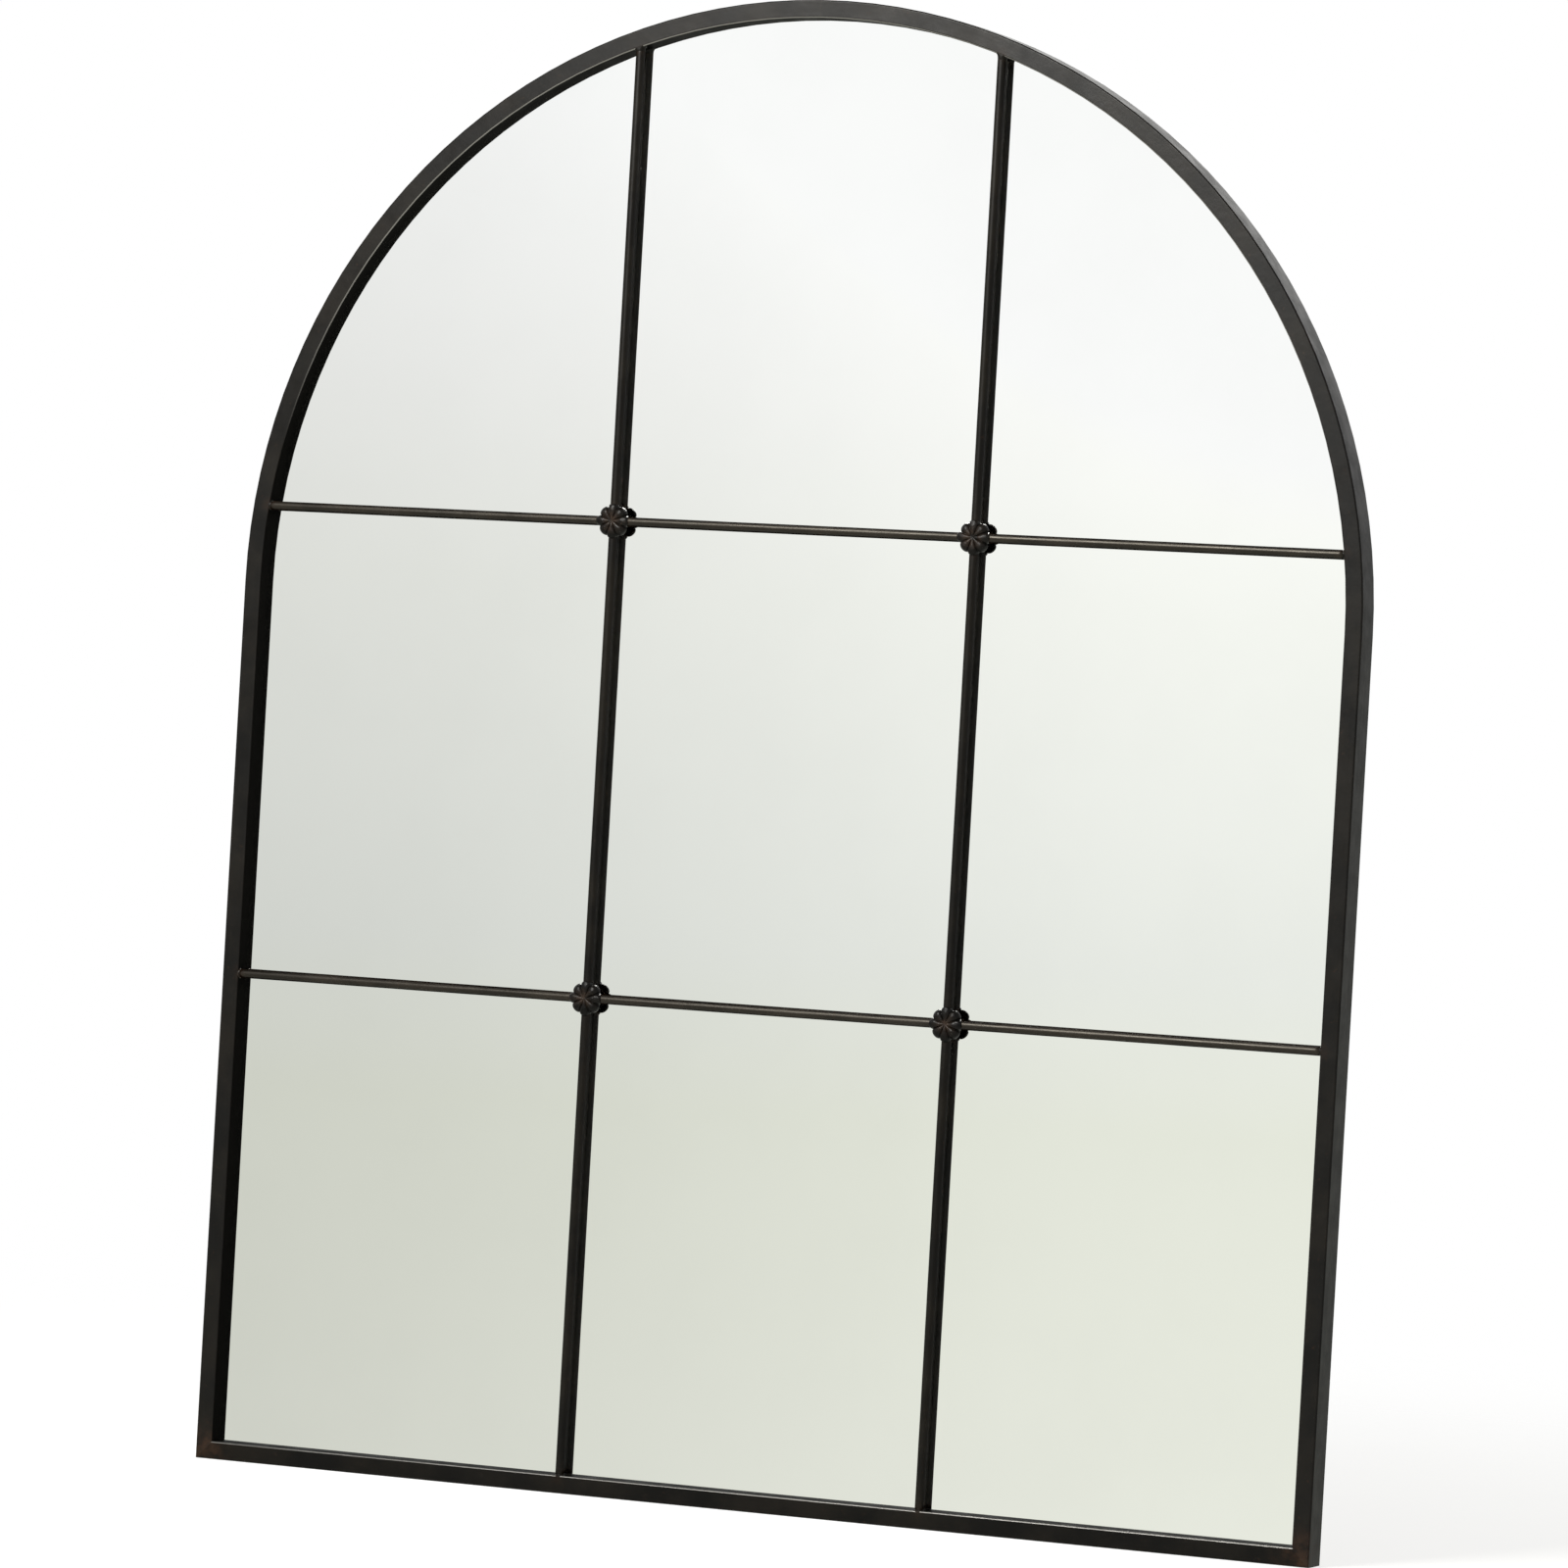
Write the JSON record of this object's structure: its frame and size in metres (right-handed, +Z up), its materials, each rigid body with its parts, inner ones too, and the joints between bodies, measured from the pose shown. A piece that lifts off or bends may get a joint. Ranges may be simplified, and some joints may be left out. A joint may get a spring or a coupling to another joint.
{
  "type": "arched wall mirror",
  "caption": "Arched wall mirror in a dark iron frame with a grille of round rods, cast rosettes at the crossings and hanging rings at the back.",
  "frame": {"origin": "middle of the overall box in X and Y, on the frame's bottom edge", "axes": "+X to the right seen from the front, +Y toward the wall, +Z up; the glass looks toward -Y"},
  "size_m": [0.803, 0.0242, 1],
  "materials": {
    "patinated_iron": "dark satin patina with brown rust at the welds and edges",
    "cast_iron": "dark cast iron, edges worn lighter",
    "silvered_glass": "silvered float glass",
    "hardboard": "raw hardboard",
    "zinc_steel": "zinc-plated steel, dull"
  },
  "bodies": {
    "frame": {"arch_left_high_tab": "patinated_iron", "arch_left_low_tab": "patinated_iron", "arch_right_high_tab": "patinated_iron", "arch_right_low_tab": "patinated_iron", "back_board": "hardboard", "bottom_left_tab": "patinated_iron", "bottom_rail": "patinated_iron", "bottom_right_tab": "patinated_iron", "bottom_rim": "patinated_iron", "left_hanger_plate": "zinc_steel", "left_lower_tab": "patinated_iron", "left_rail": "patinated_iron", "left_rim": "patinated_iron", "left_upper_tab": "patinated_iron", "left_upright": "patinated_iron", "lower_left_rod": "patinated_iron", "lower_left_rosette": "cast_iron", "lower_middle_rod": "patinated_iron", "lower_right_rod": "patinated_iron", "lower_right_rosette": "cast_iron", "mirror_glass": "silvered_glass", "right_hanger_plate": "zinc_steel", "right_lower_tab": "patinated_iron", "right_rail": "patinated_iron", "right_rim": "patinated_iron", "right_upper_tab": "patinated_iron", "right_upright": "patinated_iron", "upper_left_rod": "patinated_iron", "upper_left_rosette": "cast_iron", "upper_middle_rod": "patinated_iron", "upper_right_rod": "patinated_iron", "upper_right_rosette": "cast_iron"},
    "left_ring": {"left_hanging_ring": "zinc_steel"},
    "right_ring": {"right_hanging_ring": "zinc_steel"}
  },
  "joints": [
    {"name": "left_ring_hinge", "type": "hinge", "parent": "frame", "child": "left_ring", "pos_m": [-0.3865, 0.00905, 0.5865], "axis": [1, 0, 0], "range_deg": [0, 180]},
    {"name": "right_ring_hinge", "type": "hinge", "parent": "frame", "child": "right_ring", "pos_m": [0.3865, 0.00905, 0.5865], "axis": [1, 0, 0], "range_deg": [0, 180]}
  ]
}
